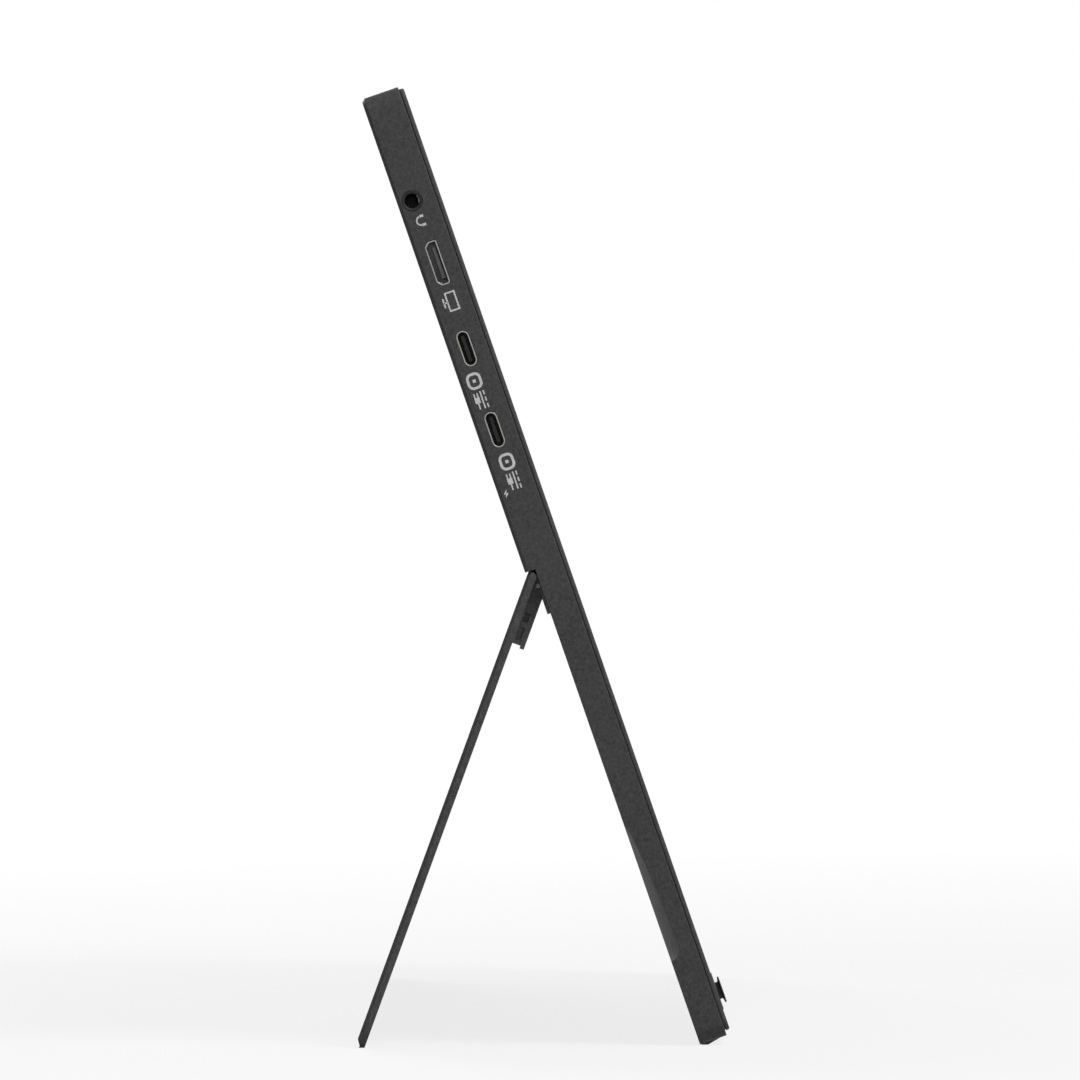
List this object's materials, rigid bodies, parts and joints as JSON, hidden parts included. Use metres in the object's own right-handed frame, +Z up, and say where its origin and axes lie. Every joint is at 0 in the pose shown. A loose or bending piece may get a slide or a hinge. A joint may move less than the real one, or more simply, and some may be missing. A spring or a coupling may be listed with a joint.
{
  "type": "portable monitor",
  "caption": "Slim portable monitor leaning on a full-width fold-out stand that closes flush over its lower back, with side sockets and a menu stick on the bezel.",
  "frame": {"origin": "middle of the box's base, on the table the monitor stands on", "axes": "+Z up, +X to the right of someone facing the screen, +Y from the screen to the back"},
  "size_m": [0.356, 0.091, 0.2354],
  "materials": {
    "casing": "fine-grained dark grey moulding",
    "bezel": "satin dark grey moulding",
    "stand_coat": "fine-textured dark grey coating",
    "screen": "dark anti-glare display glass",
    "film": "white optical film",
    "tape": "black adhesive tape",
    "sheet_steel": "bare pressed sheet steel",
    "hinge_steel": "dark grey plated hinge steel",
    "pin_steel": "ground steel pin",
    "screw_steel": "black screws",
    "nickel": "nickel plated socket shell",
    "socket_plastic": "black socket moulding",
    "board": "circuit board with solder mask",
    "chip": "black chip packages",
    "flex": "amber flat cable",
    "wire": "black insulated wire",
    "foot_rubber": "dark grey rubber",
    "stick_plastic": "black key plastic"
  },
  "bodies": {
    "monitor": {"rear_housing": "casing", "front_bezel": "bezel", "panel_tape": "tape", "display_glass": "screen", "diffuser_sheet": "film", "light_guide": "film", "light_bar": "film", "reflector_sheet": "film", "panel_chassis": "sheet_steel", "panel_driver_board": "board", "display_flex": "flex", "main_board": "board", "board_chips": "chip", "shield_can": "sheet_steel", "board_screws": "screw_steel", "upper_power_socket_shell": "nickel", "upper_power_socket_tongue": "socket_plastic", "lower_power_socket_shell": "nickel", "lower_power_socket_tongue": "socket_plastic", "video_socket_shell": "nickel", "video_socket_tongue": "socket_plastic", "audio_jack": "socket_plastic", "left_speaker": "chip", "right_speaker": "chip", "speaker_leads": "wire", "stick_switch": "socket_plastic", "stick_board": "board", "stick_board_screws": "screw_steel", "stick_flex": "flex", "body_foot_strips": "foot_rubber", "left_hinge_bracket_inner": "hinge_steel", "left_hinge_bracket_outer": "hinge_steel", "right_hinge_bracket_inner": "hinge_steel", "right_hinge_bracket_outer": "hinge_steel", "left_hinge_pin": "pin_steel", "right_hinge_pin": "pin_steel", "bracket_rivets": "pin_steel", "bracket_screws": "screw_steel"},
    "stand": {"stand_plate": "stand_coat", "stand_foot_strips": "foot_rubber", "leaf_screws": "screw_steel", "left_hinge_leaf": "hinge_steel", "left_hinge_cover": "hinge_steel", "right_hinge_leaf": "hinge_steel", "right_hinge_cover": "hinge_steel"},
    "press": {"stick_plunger": "stick_plastic"},
    "rocker": {"stick_rocker": "stick_plastic"},
    "stick": {"menu_stick": "stick_plastic", "menu_stick_cap": "stick_plastic"}
  },
  "joints": [
    {"name": "stand_fold", "type": "hinge", "parent": "monitor", "child": "stand", "pos_m": [0, 0.00194, 0.11512], "axis": [1, 0, 0], "range_deg": [-39.19, 50.81]},
    {"name": "stick_press", "type": "slide", "parent": "monitor", "child": "press", "axis": [0, 0.9478, -0.319], "range_m": [0, 0.0003], "stiffness_N_per_m": 6000},
    {"name": "stick_tilt_up_down", "type": "hinge", "parent": "press", "child": "rocker", "pos_m": [-0.15, -0.04121, 0.01137], "axis": [1, 0, 0], "range_deg": [-5, 5], "stiffness_Nm_per_rad": 0.1},
    {"name": "stick_tilt_left_right", "type": "hinge", "parent": "rocker", "child": "stick", "pos_m": [-0.15, -0.04121, 0.01137], "axis": [0, 0.319, 0.9478], "range_deg": [-5, 5], "stiffness_Nm_per_rad": 0.1}
  ]
}
